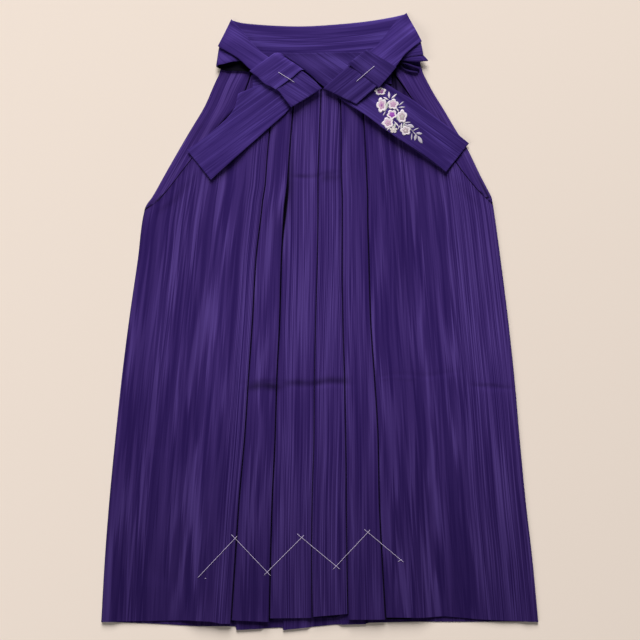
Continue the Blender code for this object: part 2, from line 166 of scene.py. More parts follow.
def dyedCloth(name, dye):
    # polyester twill with dark purple streaks dyed along the warp: matt, a faint silky sheen
    material, tree, shader = startMaterial(name)
    uv = addNode(tree, "ShaderNodeUVMap", {"uv_map": "cloth"})

    def streaks(width, length, shift, source=uv.outputs["UV"]):
        scale = (1 / (width * mm), 1 / (length * mm), 1.0)
        mapping = addNode(tree, "ShaderNodeMapping", {},
                          {"Scale": scale, "Location": (shift, shift * 0.37, 0.0)}, {"Vector": source})
        return addNode(tree, "ShaderNodeTexNoise", {"noise_dimensions": "2D"},
                       {"Scale": 1.0, "Detail": 1.0, "Roughness": 0.55},
                       {"Vector": mapping.outputs["Vector"]}).outputs["Fac"]

    def kindOfStreak(kind, width, length, source=uv.outputs["UV"]):
        low, high, shift = streakKinds[kind]
        return addNode(tree, "ShaderNodeMapRange", {"interpolation_type": "SMOOTHSTEP"},
                       {"From Min": low, "From Max": high},
                       {"Value": streaks(width, length, shift, source)}).outputs["Result"]

    def maths(kind, a, b):
        node = addNode(tree, "ShaderNodeMath", {"operation": kind})
        for socket, value in zip(node.inputs, (a, b)):
            if isinstance(value, (int, float)):
                socket.default_value = value
            else:
                tree.links.new(value, socket)
        return node.outputs[0]

    start = streaks(dye["bunchWidth"], *bunchStart)
    offset = addNode(tree, "ShaderNodeCombineXYZ", {}, {},
                     {"Y": maths("MULTIPLY", maths("SUBTRACT", start, 0.5), dye["bunchShift"] * mm * 4)})
    shifted = addNode(tree, "ShaderNodeVectorMath", {"operation": "ADD"}, {},
                      {0: uv.outputs["UV"], 1: offset.outputs["Vector"]}).outputs["Vector"]
    broad = kindOfStreak("broad", dye["broadWidth"], dye["broadLength"], shifted)
    bunch = kindOfStreak("bunch", dye["bunchWidth"], dye["broadLength"] * 2.5)
    cloud = kindOfStreak("cloud", dye["cloudWidth"], dye["cloudLength"])
    fine = kindOfStreak("fine", dye["fineWidth"], dye["fineLength"])

    def blend(a, shareA, b, shareB):
        return maths("ADD", maths("MULTIPLY", a, shareA), maths("MULTIPLY", b, shareB))

    slow = maths("ADD", maths("MULTIPLY", cloud, dye["cloudShare"]), dye["cloudFloor"])
    softTone = maths("MULTIPLY", blend(broad, dye["broadShare"], bunch, dye["bunchShare"]), slow)
    stripeTone = blend(fine, dye["fineShare"], broad, dye["broadUnderFine"])
    fineShare = addNode(tree, "ShaderNodeAttribute", {"attribute_name": "fine"})
    tone = addNode(tree, "ShaderNodeMix", {"data_type": "FLOAT"}, {},
                   {"Factor": fineShare.outputs["Fac"], "A": softTone, "B": stripeTone})
    # painted shade: the colour darkens toward the hem
    along = addNode(tree, "ShaderNodeSeparateXYZ", {}, {}, {"Vector": uv.outputs["UV"]})
    paintedShadeRange = {"From Min": 0.0, "From Max": dye["paintedShadeTo"] * mm, "To Min": dye["paintedShadeHem"], "To Max": 1.0}
    paintedHemShade = addNode(tree, "ShaderNodeMapRange", {"interpolation_type": "SMOOTHSTEP"}, paintedShadeRange,
                   {"Value": along.outputs["Y"]})
    ramp = addNode(tree, "ShaderNodeValToRGB", {}, {}, {"Fac": tone.outputs["Result"]})
    ramp.color_ramp.elements[0].color = linearColour(dye["dark"])
    ramp.color_ramp.elements[1].color = linearColour(dye["light"])
    ramp.color_ramp.elements.new(dye["middleAt"]).color = linearColour(dye["middle"])
    # painted shade from the crevice attribute, in folds, grooves, slots, fold marks, under the straps and on
    # them
    crevice = addNode(tree, "ShaderNodeAttribute", {"attribute_name": "crevice"})
    lightness = maths("MULTIPLY", paintedHemShade.outputs["Result"],
                      maths("SUBTRACT", 1.0, maths("MULTIPLY", crevice.outputs["Fac"], dye["creviceDepth"])))
    paintedShadeColour = addNode(tree, "ShaderNodeVectorMath", {"operation": "SCALE"}, {},
                       {0: ramp.outputs["Color"], "Scale": lightness})
    tree.links.new(paintedShadeColour.outputs["Vector"], shader.inputs["Base Color"])

    mapping = addNode(tree, "ShaderNodeMapping", {}, {"Scale": (1 / (dye["weave"] * mm),) * 3},
                      {"Vector": uv.outputs["UV"]})
    warp, weft = [addNode(tree, "ShaderNodeTexWave", {"bands_direction": axis},
                          {"Scale": 0.31, "Distortion": 0.6},
                          {"Vector": mapping.outputs["Vector"]}).outputs["Fac"] for axis in "XY"]
    bump = addNode(tree, "ShaderNodeBump", {},
                   {"Strength": dye["weaveRelief"], "Distance": dye["weaveHeight"] * mm},
                   {"Height": maths("MULTIPLY", warp, weft)})
    tree.links.new(bump.outputs["Normal"], shader.inputs["Normal"])
    for key, value in clothShine.items():
        shader.inputs[key].default_value = value
    return material


skirtCloth = dyedCloth("dyed polyester twill, skirt", skirtDye)
strapDye = dict(skirtDye, dark="2e1d60", middle="3f2c75", light="57449a", paintedShadeHem=1.0,
                broadWidth=14.0, broadLength=120.0, bunchWidth=4.0, cloudWidth=30.0, cloudLength=200.0,
                fineWidth=2.0, fineLength=220.0)
strapCloth = dyedCloth("dyed polyester twill, straps", strapDye)
print("cloth materials made")


# Sheets with a wall

smoothAngle = 50.0      # degrees, edges sharper than this stay sharp


def buildSheet(name, sections, directions, material):
    # sections: rows of (point, half wall, u, v, share of narrow stripes, painted shade)
    # directions: the way from row to row, one for all of them or one for each
    if isinstance(directions, Vector):
        directions = [directions] * len(sections)
    size = len(sections[0])
    verts, uvs, fines, shades = [], [], [], []
    for section, direction in zip(sections, directions):
        upper, lower = [], []
        for i, (point, half, u, v, fine, shade) in enumerate(section):
            d0 = point - section[max(i - 1, 0)][0]
            d1 = section[min(i + 1, size - 1)][0] - point
            d0 = d1 if i == 0 else d0
            d1 = d0 if i == size - 1 else d1
            n0 = d0.cross(direction).normalized()
            n1 = d1.cross(direction).normalized()
            middle = (n0 + n1).normalized()
            reach = half / max(middle.dot(n0), 0.5)
            upper.append(point + middle * reach)
            lower.append(point - middle * reach)
        verts += upper + lower[::-1]
        around = section + section[::-1]
        uvs += [(p[2], p[3]) for p in around]
        fines += [p[4] for p in around]
        shades += [p[5] for p in around]
    ring = 2 * size
    faces = []
    for r in range(len(sections) - 1):
        for i in range(ring):
            j = (i + 1) % ring
            faces.append((r * ring + i, r * ring + j, (r + 1) * ring + j, (r + 1) * ring + i))
    for start in (0, (len(sections) - 1) * ring):
        for i in range(size - 1):
            faces.append((start + i, start + i + 1, start + ring - 2 - i, start + ring - 1 - i))
    mesh = bpy.data.meshes.new(name)
    mesh.from_pydata(verts, [], faces)
    faceOutward(mesh)
    layer = mesh.uv_layers.new(name="cloth")
    for loop in mesh.loops:
        layer.data[loop.index].uv = uvs[loop.vertex_index]
    mesh.attributes.new("fine", "FLOAT", "POINT").data.foreach_set("value", fines)
    # the painted shade of each point
    mesh.attributes.new("crevice", "FLOAT", "POINT").data.foreach_set("value", shades)
    piece = addObject(name, mesh)
    mesh.materials.append(material)
    bpy.ops.object.select_all(action="DESELECT")
    bpy.context.view_layer.objects.active = piece
    piece.select_set(True)
    bpy.ops.object.shade_smooth_by_angle(angle=math.radians(smoothAngle))
    piece.select_set(False)
    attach(piece, "root")
    return piece


def sheetArea(piece):
    return sum(p.area for p in piece.data.polygons) / 2


frontPanel = {
    "wall": 0.8, "pitch": 1.35, "low": 4.55, "grain": 7.0, "rowStep": 9.0, "step": 1.2,
    "loft": 0.7, "groove": 1.7, "shelf": 2.4,   # the cloth comes up again beside each pleat edge
    # mm in from the side, twice, and out from the pleats, each at most this share of the way between them
    "sideSteps": ((19, 0.2), (32, 0.4), (46, 0.35)),
    "lineDark": (0.82, 1.0, 0.66, 0.70, 0.88),  # how dark the painted shade in the groove at each pleat edge is
    "lineFade": (720.0, 120.0, 0.25),   # y where these lines fade toward the waist, over what length, how far
    "gap": (722.0, 44.0, 3.4),          # y, half length and width of the open gap at the second edge
    "gapShade": (748.0, 60.0, 11.0, 0.5),   # y, half length, reach to the right, darkness of the shade there
    "rows": [  # y, left, edge 1 to edge 5, right, pleat depth, height at the side, height beside the pleats
        (0, -378, -154, -88, -12, 50, 115, 378, 48, 3.2, 1.85),
        (107, -372, -147, -86, -13, 48, 109, 368, 46, 3.2, 1.85),
        (211, -364, -140, -83, -12, 47, 104, 356, 44, 3.2, 1.85),
        (315, -354, -131, -78, -9, 46, 102, 346, 42, 3.2, 1.85),
        (419, -343, -124, -75, -8, 44, 96, 337, 39, 3.2, 1.85),
        (522, -330, -117, -70, -6, 41, 89, 326, 36, 3.2, 1.85),
        (626, -315, -111, -67, -3, 40, 86, 313, 34, 3.2, 1.85),
        (713, -303, -101, -62, -2, 40, 84, 301, 31, 3.2, 1.85),
        (724, -284, -100, -61, -2, 40, 84, 299, 30, 3.2, 1.85),
        (731, -277, -99, -60, -2, 40, 84, 289, 30, 3.2, 1.85),
        (756, -256, -95, -57, -2, 39, 83, 265, 29, 3.2, 1.85),
        (799, -223, -92, -54, -1, 38, 81, 232, 28, 1.85, 1.85),
        (851, -181, -87, -50, 1, 38, 78, 197, 27, 1.85, 2.25),
        (903, -135, -82, -45, 3, 37, 75, 160, 24, 2.65, 3.45),
        (946, -118, -76, -40, 4, 37, 72, 128, 22, 4.45, 5.25),
    ],
    "hems": [  # lift of the hem along x for each part between the edges
        [(-378, 0), (-225, 3), (-190, 2), (-170, -2), (-154, -2)],
        [(-154, 4), (-88, 1)],
        [(-88, 7), (-12, 8)],
        [(-12, 10), (50, 15)],
        [(50, 5), (115, 5)],
        [(115, 9), (180, 8), (215, 10), (283, 4), (378, 0)],
    ],
    "hemFade": 60.0, "hemDepth": 72.0,
    "pit": (104.0, 14.0, 894.0, 42.0, 0.9),   # x and y, each with its width, where the painted shade under the right strap starts, and its darkness
                                              # strap starts, and its darkness
    "slit": (713.0, 0.19),              # y of the foot of the side opening, slope of the streaks above it
}
foldSteps = 6           # faces around the edge of a fold


def foldPoints(edge, side, zFirst, zLast, liftFirst, liftLast, part, wall):
    radius = (zLast - zFirst) / 2
    middle = (zFirst + zLast) / 2
    points = []
    for k in range(foldSteps + 1):
        a = -math.pi / 2 + math.pi * k / foldSteps
        f = k / foldSteps
        points.append((edge - side * (wall / 2 + abs(radius)) + side * abs(radius) * math.cos(a),
                       middle + radius * math.sin(a), liftFirst + (liftLast - liftFirst) * f, part))
    return points


def frontStops(row, cloth, gap=0.0):
    # the line of the cloth from the left side to the right one: (x, z, share of the soft relief, part)
    left, e1, e2, e3, e4, e5, right, depth, sideZ, layZ = row
    wall, pitch, low = cloth["wall"], cloth["pitch"], cloth["low"]
    mid, top = low + pitch, low + 2 * pitch + cloth["loft"]
    step = cloth["step"]
    in1, in5 = e1 - depth, e5 + depth
    l1, l2, l3 = [min(most, (in1 - left) * part) for most, part in cloth["sideSteps"]]
    r1, r2, r3 = [min(most, (right - in5) * part) for most, part in cloth["sideSteps"]]
    stops = [(left, sideZ, 0.5, 0), (left + l1, sideZ, 1, 0), (left + l2, layZ, 1, 0), (in1 - l3, layZ, 1, 0),
             (in1 - step, top, 1, 0)]
    stops += foldPoints(e1, 1, top, mid, 1, 0.3, 0, wall) + foldPoints(in1, -1, mid, low, 0.15, 0, 0, wall)
    groove, shelf = cloth["groove"], low + cloth["shelf"]
    stops += [(e1 + step, low, 0, 1), (e1 + step + groove, shelf, 0.6, 1), (e2 - depth - step, top, 0.8, 1)]
    stops += foldPoints(e2, 1, top, mid, 1, 0.3, 1, wall)
    stops += foldPoints(e2 - depth, -1, mid, low, 0.15, 0, 1, wall)
    stops += [(e2 + step + gap, low, 0, 2), (e2 + step + gap + groove, shelf, 0.6, 2)]
    for part, edge in ((3, e3), (4, e4), (5, e5)):
        stops += [(edge - step - groove, shelf, 0.6, part - 1), (edge - step, low, 0, part - 1)]
        stops += foldPoints(edge + depth, 1, low, mid, 0, 0.15, part, wall)
        stops += foldPoints(edge, -1, mid, top, 0.3, 1, part, wall)
        stops += [(edge + depth + step, top, 0.8, part)]
    stops += [(in5 + r3, layZ, 1, 5), (right - r2, layZ, 1, 5), (right - r1, sideZ, 1, 5),
              (right, sideZ, 0.5, 5)]
    return stops


def densify(stops, counts):
    line = []
    for (a, b), count in zip(zip(stops, stops[1:]), counts):
        for k in range(count):
            f = k / count
            g = smoothStep(f) if abs(b[1] - a[1]) > 0.05 and count > 1 else f
            x, z, share = a[0] + (b[0] - a[0]) * f, a[1] + (b[1] - a[1]) * g, a[2] + (b[2] - a[2]) * f
            line.append((x, z, share, a[3]))
    line.append(stops[-1])
    return line


softRelief = {
    "swell": 1.1, "swellWidth": 70.0, "swellLength": 260.0,   # mm, the cloth's slow rise and fall
    "small": 0.4, "smallWidth": 28.0, "smallLength": 120.0,   # a smaller one on top of it
    "bend": (2.5, 17.0),        # mm, how far a trough strays from a straight line, over what length
    "sway": (9.0, 90.0),        # the same for the ridges
    "hemTurn": (0.3, 5.0),      # rise of the turned hem and the length of its slope
    "troughs": [  # x from, x to, y at both ends, depth, half width: marks of earlier folds
        (-128, 48, 414, 410, 0.75, 5.0),
        (96, 240, 424, 430, 0.35, 5.0),
        (262, 338, 410, 404, 0.45, 5.0),
        (-56, 40, 770, 775, 0.5, 4.0),
        (-330, -262, 306, 300, 0.45, 7.0),
        (-300, -236, 92, 60, 0.6, 9.0),
    ],
    "marks": [  # x from, x to, y at both ends, darkness of the painted shade, half width: sharp marks of earlier folds
        (-126, -66, 408, 409, 0.85, 7.0),
        (-66, 50, 411, 420, 0.52, 6.0),
        (100, 170, 419, 421, 0.14, 3.0),
        (262, 338, 412, 406, 0.25, 3.0),
        (-56, 38, 769, 775, 0.36, 3.6),
        (2, 38, 768, 770, 0.40, 8.0),
    ],
    "fineRows": [(414.0, 22.0), (771.0, 16.0)],   # y and reach of the closer rows at these marks
    "ridges": [  # x, y from, y to, height, half width: long soft rises down the cloth
        (-258, 40, 320, 0.9, 16.0),
        (-205, 0, 190, 0.8, 12.0),
        (-285, 300, 610, 0.8, 20.0),
        (215, 20, 300, 0.8, 18.0),
        (160, 330, 660, 0.7, 15.0),
        (280, 200, 520, 0.9, 18.0),
    ],
    "openEdges": [  # edge column, y, half length, height, reach: pleat edges that stand up a little
        (3, 722, 42, 5.5, 20.0),
        (3, 600, 60, 1.4, 18.0),
        (2, 640, 60, 0.8, 16.0),
        (6, 330, 90, 1.0, 18.0),
        (5, 470, 90, 0.7, 14.0),
        (2, 60, 60, 0.9, 20.0),
        (6, 60, 50, 0.9, 18.0),
    ],
    "sides": [  # 1 left or 7 right, y, half length, height, reach: side edges that stand up
        (1, 905, 50, 3.6, 17.0),
        (1, 800, 70, 1.6, 15.0),
        (7, 915, 60, 2.4, 16.0),
        (7, 770, 60, 1.2, 14.0),
    ],
}


def reliefAt(x, y, edges):
    r = softRelief
    n = noise.noise(Vector((x / r["swellWidth"], y / r["swellLength"], 4.2)))
    n += r["small"] * noise.noise(Vector((x / r["smallWidth"], y / r["smallLength"], 9.7)))
    height = r["swell"] * (0.75 + n)
    for x0, x1, y0, y1, depth, half in r["troughs"]:
        f = (x - x0) / (x1 - x0)
        if -0.15 < f < 1.15:
            line = y0 + (y1 - y0) * f + r["bend"][0] * math.sin(x / r["bend"][1])
            ends = smoothStep((f + 0.15) / 0.3) * smoothStep((1.15 - f) / 0.3)
            height -= depth * ends * bell(y - line, half)
    for xc, y0, y1, rise, half in r["ridges"]:
        f = (y - y0) / (y1 - y0)
        if 0 < f < 1:
            sway = r["sway"][0] * math.sin(y / r["sway"][1] + xc)
            height += rise * math.sin(math.pi * f) ** 2 * bell(x - xc - sway, half)
    for column, yc, half, rise, reach in r["openEdges"]:
        edge = edges[column - 2]
        side = 1 if column >= 4 else -1
        away = (x - edge) * side
        if away > -3:
            height += rise * bell(y - yc, half) * math.exp(-max(away, 0) / reach)
    height += r["hemTurn"][0] * smoothStep((frontPanel["hemDepth"] - y) / r["hemTurn"][1])
    return max(height, 0.0)


def creaseAt(x, y):
    # painted shade in a sharp fold mark
    shade = 0.0
    for x0, x1, y0, y1, strength, half in softRelief["marks"]:
        f = (x - x0) / (x1 - x0)
        if -0.1 < f < 1.1:
            line = y0 + (y1 - y0) * f + 1.5 * math.sin(x / 9.0)
            ends = smoothStep((f + 0.1) / 0.25) * smoothStep((1.1 - f) / 0.25)
            broken = 0.75 + 0.5 * noise.noise(Vector((x / 14, y0, 1.3)))
            shade = max(shade, strength * ends * broken * bell(y - line, half))
    return shade


def rowYs(last, step, extra=()):
    count = int(last / step)
    ys = [0.0, 0.8, 2.5] + [last * k / count for k in range(1, count)] + [last - 2.0, last]
    for middle, reach in extra:
        ys = [y for y in ys if abs(y - middle) > reach + 1]
        ys += [middle + 2.0 * k for k in range(-round(reach / 2), round(reach / 2) + 1)]
    return sorted(ys)


# The cloth from side to side in six parts, divided by the five pleat edges. The streaks of a part
# follow its own pleat edge: number of the edge, and where the streaks' pattern starts there, in mm.
# The outer parts also follow their side edge, with the width of pattern between the two edges.
stripeParts = [(0, -400, -230), (1, -100, None), (2, 150, None), (2, 600, None), (3, 800, None),
               (4, 900, 255)]
# where the narrow stripes set in across a part (None: all over), over what width in mm, and their share
narrowStripes = [(-435, 12, 1.0), (None, 0, 0.25), (70, 30, 0.9), (None, 0, 0.85), (None, 0, 0.4),
                 (1040, 40, 0.8)]


def stripeCoordinate(x, part, edges, sideLeft, sideRight):
    edge, start, width = stripeParts[part]
    if width is None:
        return x - edges[edge] + start
    side = sideLeft if part == 0 else sideRight
    return (x - edges[edge]) / (side - edges[edge]) * width + start


def fineShareAt(u, part):
    start, width, share = narrowStripes[part]
    return share if start is None else smoothStep((u - start) / width) * share


def makeFrontPanel():
    cloth = frontPanel
    rows = cloth["rows"]
    ys = rowYs(rows[-1][0], cloth["rowStep"], softRelief["fineRows"])
    hemStops = frontStops(rows[0][1:], cloth)
    counts = [max(1, round(abs(b[0] - a[0]) / cloth["grain"])) for a, b in zip(hemStops, hemStops[1:])]
    slitY, slope = cloth["slit"]
    fadeY, fadeLength, faded = cloth["lineFade"]
    gapY, gapHalf, gapWidth = cloth["gap"]
    shadeY, shadeHalf, shadeReach, shadeDark = cloth["gapShade"]
    pitX, pitWidth, pitY, pitLength, pitDark = cloth["pit"]
    sections = []
    for y in ys:
        row = [curveAt(rows, c, y) for c in range(1, len(rows[0]))]
        edges = row[1:6]
        sideLeft = curveAt(rows, 1, min(y, slitY)) + max(y - slitY, 0) * slope
        sideRight = curveAt(rows, 7, min(y, slitY)) - max(y - slitY, 0) * slope
        fade = max(0.0, 1 - y / cloth["hemFade"]) ** 2
        lineShare = 1 - faded * smoothStep((y - fadeY) / fadeLength)
        section = []
        gap = gapWidth * bell(y - gapY, gapHalf)
        for x, z, share, part in densify(frontStops(row, cloth, gap), counts):
            u = stripeCoordinate(x, part, edges, sideLeft, sideRight)
            lift = lineAt(cloth["hems"][part], x) * fade
            height = z + (share * reliefAt(x, y, edges) if share > 0 else 0.0)
            for side, yc, half, rise, reach in softRelief["sides"] if part in (0, 5) and share > 0 else []:
                away = x - row[0] if side == 1 else row[6] - x
                height += rise * bell(y - yc, half) * math.exp(-away / reach)
            # painted shade: in the grooves at the pleat edges, in fold marks, in the pit under the right
            # strap and beside the open gap
            nearest = min(range(5), key=lambda k: abs(edges[k] - x))
            groove = (1 - share / 0.6) * cloth["lineDark"][nearest] * lineShare
            pit = pitDark * smoothStep((y - pitY) / pitLength) * smoothStep((x - pitX) / pitWidth)
            beside = 0.0
            if part == 2:
                along, away = (y - shadeY) / shadeHalf, (x - edges[1]) / shadeReach
                beside = shadeDark * math.exp(-along ** 2 - away ** 2)
            shade = min(max(groove, creaseAt(x, y), pit, beside), 1.0)
            section.append((place(x, y + lift, height), cloth["wall"] / 2 * mm, u * mm, y * mm,
                            fineShareAt(u, part), shade))
        sections.append(section)
    return buildSheet("front_panel_cloth", sections, Vector((0, 1, 0)), skirtCloth)


frontCloth = makeFrontPanel()
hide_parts("front_panel")
print("front panel made,", len(frontCloth.data.polygons), "faces, area", round(sheetArea(frontCloth), 4))


backPanel = {
    "wall": 0.8, "pitch": 1.35, "low": 0.5, "turned": 16.0, "edgeRise": 0.5, "edgeThin": 0.35,
    "grain": 4.0, "rowStep": 12.0, "step": 1.5,
    "rows": [  # y, left, three pleat edges, right, pleat depth
        (0, -378, -145, -64, 80, 378, 40),
        (107, -372, -135, -58, 77, 368, 38),
        (211, -364, -124, -53, 73, 356, 36),
        (315, -354, -114, -48, 70, 346, 34),
        (419, -343, -103, -43, 66, 337, 32),
        (522, -330, -93, -36, 63, 326, 30),
        (626, -315, -83, -29, 59, 313, 28),
        (713, -303.5, -74, -24, 56, 301, 26),
        (721, -300.5, -73, -24, 56, 300, 26),
        (735, -290.5, -72, -23, 55, 297.5, 25),
        (741, -286.8, -72, -22, 55, 294.6, 25),
        (773, -269, -69, -20, 54, 278, 24),
        (822, -241, -64, -17, 52, 254, 22),
        (851, -224, -60, -15, 51, 236, 20),
        (893, -199, -57, -12, 49, 211, 19),
        (924, -185, -53, -10, 47, 191, 18),
        (952, -171, -51, -8, 45, 175, 17),
        (978, -166, -48, -6, 44, 170, 16),
    ],
    "hem": [(-378, 0), (-285, -3.5), (-210, -8), (-146, -8), (-144, -14), (-65, -10), (-63, -14), (26, -5),
            (80, -4), (82, -2), (170, 0), (378, 0)],
    "top": [(-166, 14), (-138, 9.4), (-77, 2.2), (-26, 1.2), (30, 2.8), (85, 5.0), (136, 12.6), (170, 22)],
    "strips": [  # y, rise
        (690, 0.0), (730, 2.2), (790, 1.6), (845, 1.6), (870, 4.4), (935, 4.6), (958, 0.0)],
    "hemFade": 60.0, "topFade": 80.0,    # how far the lift of the hem and of the top edge reaches
    "ridge": 0.95,       # share of the strip from the outline to its highest line
    "slot": 1.4, "slotFrom": (706.0, 8.0),   # width of the painted shade in the slot beside the front panel, and its start
    "fine": 0.45,        # share of narrow stripes
    "lines": [  # painted shade along the edge of the turned cloth: x, y at the top, x, y at the bottom, darkness, half width
        (262, 790, 292, 733, 0.8, 2.4), (-285, 738, -298, 719, 0.7, 2.4), (-229, 838, -222, 852, 0.5, 1.6)],
}


stripShares = (0.0, 0.12, 0.26, 0.42, 0.58, 0.74, 0.88, 1.0)   # places across the turned side strip


def backStops(row, cloth, creviceLeft, creviceRight):
    left, e1, e2, e3, right, depth = row
    slot = cloth["slot"]
    besideLeft, besideRight = max(creviceLeft, left + 6), min(creviceRight, right - 6)
    wall, pitch, low = cloth["wall"], cloth["pitch"], cloth["low"]
    mid, top = low + pitch, low + 2 * pitch
    flat = low + cloth["edgeRise"]
    step = cloth["step"]
    stops = [(left + cloth["turned"], flat, 0, 0), (left + cloth["turned"] - 5, mid, 0, 0)]
    stops += foldPoints(left, -1, mid, low, 0, 0, 0, wall)
    stops += [(left + 1.3 + (besideLeft - 2 * slot - left - 1.3) * f, low, 0, 0) for f in stripShares]
    stops += [(besideLeft + d, low, 0, 0) for d in (-slot, 0, 3)]
    stops += [(besideLeft + 3 + (e1 - besideLeft - 3) * f, low, 0, 0) for f in (0.3, 0.65)]
    for part, edge in ((1, e1), (2, e2)):
        stops += foldPoints(edge + depth, 1, low, mid, 0, 0, part, wall)
        stops += foldPoints(edge, -1, mid, top, 0, 0, part, wall)
        stops += [(edge + depth + step, top, 0, part), (edge + depth + step + 7, low, 0, part)]
    stops += [(e3 - depth - step - 7, low, 0, 2), (e3 - depth - step, top, 0, 2)]
    stops += foldPoints(e3, 1, top, mid, 0, 0, 2, wall) + foldPoints(e3 - depth, -1, mid, low, 0, 0, 3, wall)
    stops += [(e3 + (besideRight - 3 - e3) * f, low, 0, 3) for f in (0.35, 0.7)]
    stops += [(besideRight - d, low, 0, 3) for d in (3, 0, -slot)]
    stops += [(right - 1.3 - (right - 1.3 - besideRight - 2 * slot) * f, low, 0, 3)
              for f in reversed(stripShares)]
    stops += foldPoints(right, 1, low, mid, 0, 0, 3, wall)
    stops += [(right - cloth["turned"] + 5, mid, 0, 3), (right - cloth["turned"], flat, 0, 3)]
    return stops


def makeBackPanel():
    cloth = backPanel
    rows = cloth["rows"]
    ys = rowYs(rows[-1][0], cloth["rowStep"], [(736.0, 30.0)])
    hemStops = backStops(rows[0][1:], cloth, rows[0][1], rows[0][5])
    counts = [max(1, round(abs(b[0] - a[0]) / cloth["grain"])) for a, b in zip(hemStops, hemStops[1:])]
    slotY, slotLength = cloth["slotFrom"]
    sections = []
    for y in ys:
        row = [curveAt(rows, c, y) for c in range(1, len(rows[0]))]
        left, right = row[0], row[4]
        fade = max(0.0, 1 - y / cloth["hemFade"]) ** 2
        rise = max(0.0, 1 - (rows[-1][0] - y) / cloth["topFade"]) ** 2
        section = []
        besides = curveAt(frontPanel["rows"], 1, y), curveAt(frontPanel["rows"], 7, y)
        line = densify(backStops(row, cloth, *besides), counts)
        for k, (x, z, share, part) in enumerate(line):
            halfWall = cloth["wall"] / 2 * (cloth["edgeThin"] if k in (0, len(line) - 1) else 1.0)
            u = x - left if x < 0 else 900 - (right - x)
            lift = lineAt(cloth["hem"], x) * fade + lineAt(cloth["top"], x) * rise
            crevice, side = (besides[0], left) if x < 0 else (besides[1], right)
            f = abs(side - x) / max(abs(crevice - side), 1.0)
            if 0 < f < 1:
                turn = f / cloth["ridge"] if f < cloth["ridge"] else (1 - f) / (1 - cloth["ridge"])
                z += lineAt(cloth["strips"], y) * math.sin(math.pi / 2 * turn)
            # painted shade in the slot beside the front panel and along the edge of the turned cloth
            out = crevice - x if x < 0 else x - crevice
            dark = smoothStep(2 - out / cloth["slot"]) * smoothStep((out + 6) / 3)
            dark *= smoothStep((y - slotY) / slotLength)
            for x0, y0, x1, y1, strength, half in cloth["lines"]:
                along = (y - y1) / (y0 - y1)
                if 0 < along < 1:
                    off = x - (x1 + (x0 - x1) * along)
                    dark = max(dark, strength * smoothStep(1.15 - along) * bell(off, half))
            section.append((place(x, y + lift, z - 0.1), halfWall * mm, (u + 2000) * mm, y * mm,
                            cloth["fine"], dark))
        sections.append(section)
    return buildSheet("back_panel_cloth", sections, Vector((0, 1, 0)), skirtCloth)


backCloth = makeBackPanel()
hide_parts("back_panel")
print("back panel made,", len(backCloth.data.polygons), "faces, area", round(sheetArea(backCloth), 4))


# Waistbands and straps

def treeOf(piece):
    mesh = piece.data
    return BVHTree.FromPolygons([v.co for v in mesh.vertices], [tuple(p.vertices) for p in mesh.polygons])


def cadTree(node):
    return treeOf(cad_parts[node])


def topOf(tree, x, y, fallback=None):
    hit = tree.ray_cast(place(x, y, 200), Vector((0, 0, -1)))
    return fallback if hit[0] is None else hit[0].z / mm


def alongRows(rows, step, sharp=False):
    # more rows on smooth lines through the given ones, close together at both ends
    def spline(p0, p1, p2, p3, t):
        return 0.5 * (2 * p1 + (p2 - p0) * t + (2 * p0 - 5 * p1 + 4 * p2 - p3) * t * t
                      + (3 * p1 - p0 - 3 * p2 + p3) * t ** 3)

    dense = []
    for i in range(len(rows) - 1):
        a, b = rows[i], rows[i + 1]
        before = rows[i - 1] if i else tuple(2 * p - q for p, q in zip(a, b))
        after = rows[i + 2] if i + 2 < len(rows) else tuple(2 * q - p for p, q in zip(a, b))
        length = math.hypot((a[0] + a[2] - b[0] - b[2]) / 2, (a[1] + a[3] - b[1] - b[3]) / 2)
        count = max(2, round(length / step))
        fs = [k / count for k in range(count)]
        if i == 0:
            fs[1:1] = [0.7 / length, 1.8 / length]
        if i == len(rows) - 2:
            fs += [1 - 1.8 / length, 1 - 0.7 / length]
        if sharp:
            dense += [tuple(p + (q - p) * f for p, q in zip(a, b)) for f in fs]
        else:
            dense += [tuple(spline(*p, f) for p in zip(before, a, b, after)) for f in fs]
    dense.append(rows[-1])
    return dense


acrossSteps = (0.0, 0.012, 0.035, 0.08, 0.16, 0.27, 0.38, 0.5, 0.62, 0.73, 0.84, 0.92, 0.965, 0.988, 1.0)
edgeRound = {0: 0.3, 1: 0.75}       # share of the wall at the outermost points across a strap
endRound = {0: 0.35, 1: 0.8}        # the same for the outermost rows along it
strapLook = {
    "rowStep": 4.0, "across": (0.07, 0.93),     # mm between rows, the shares between which heights are taken
    "raisedFrom": (0.72, 0.28),                 # where a raised edge starts, and over what share it rises
    "pucker": 0.22, "puckerWidth": 16.0,        # mm, small unevenness of the cloth
    "apart": (61, 97),                          # mm between the streaks of one strap and the next
}


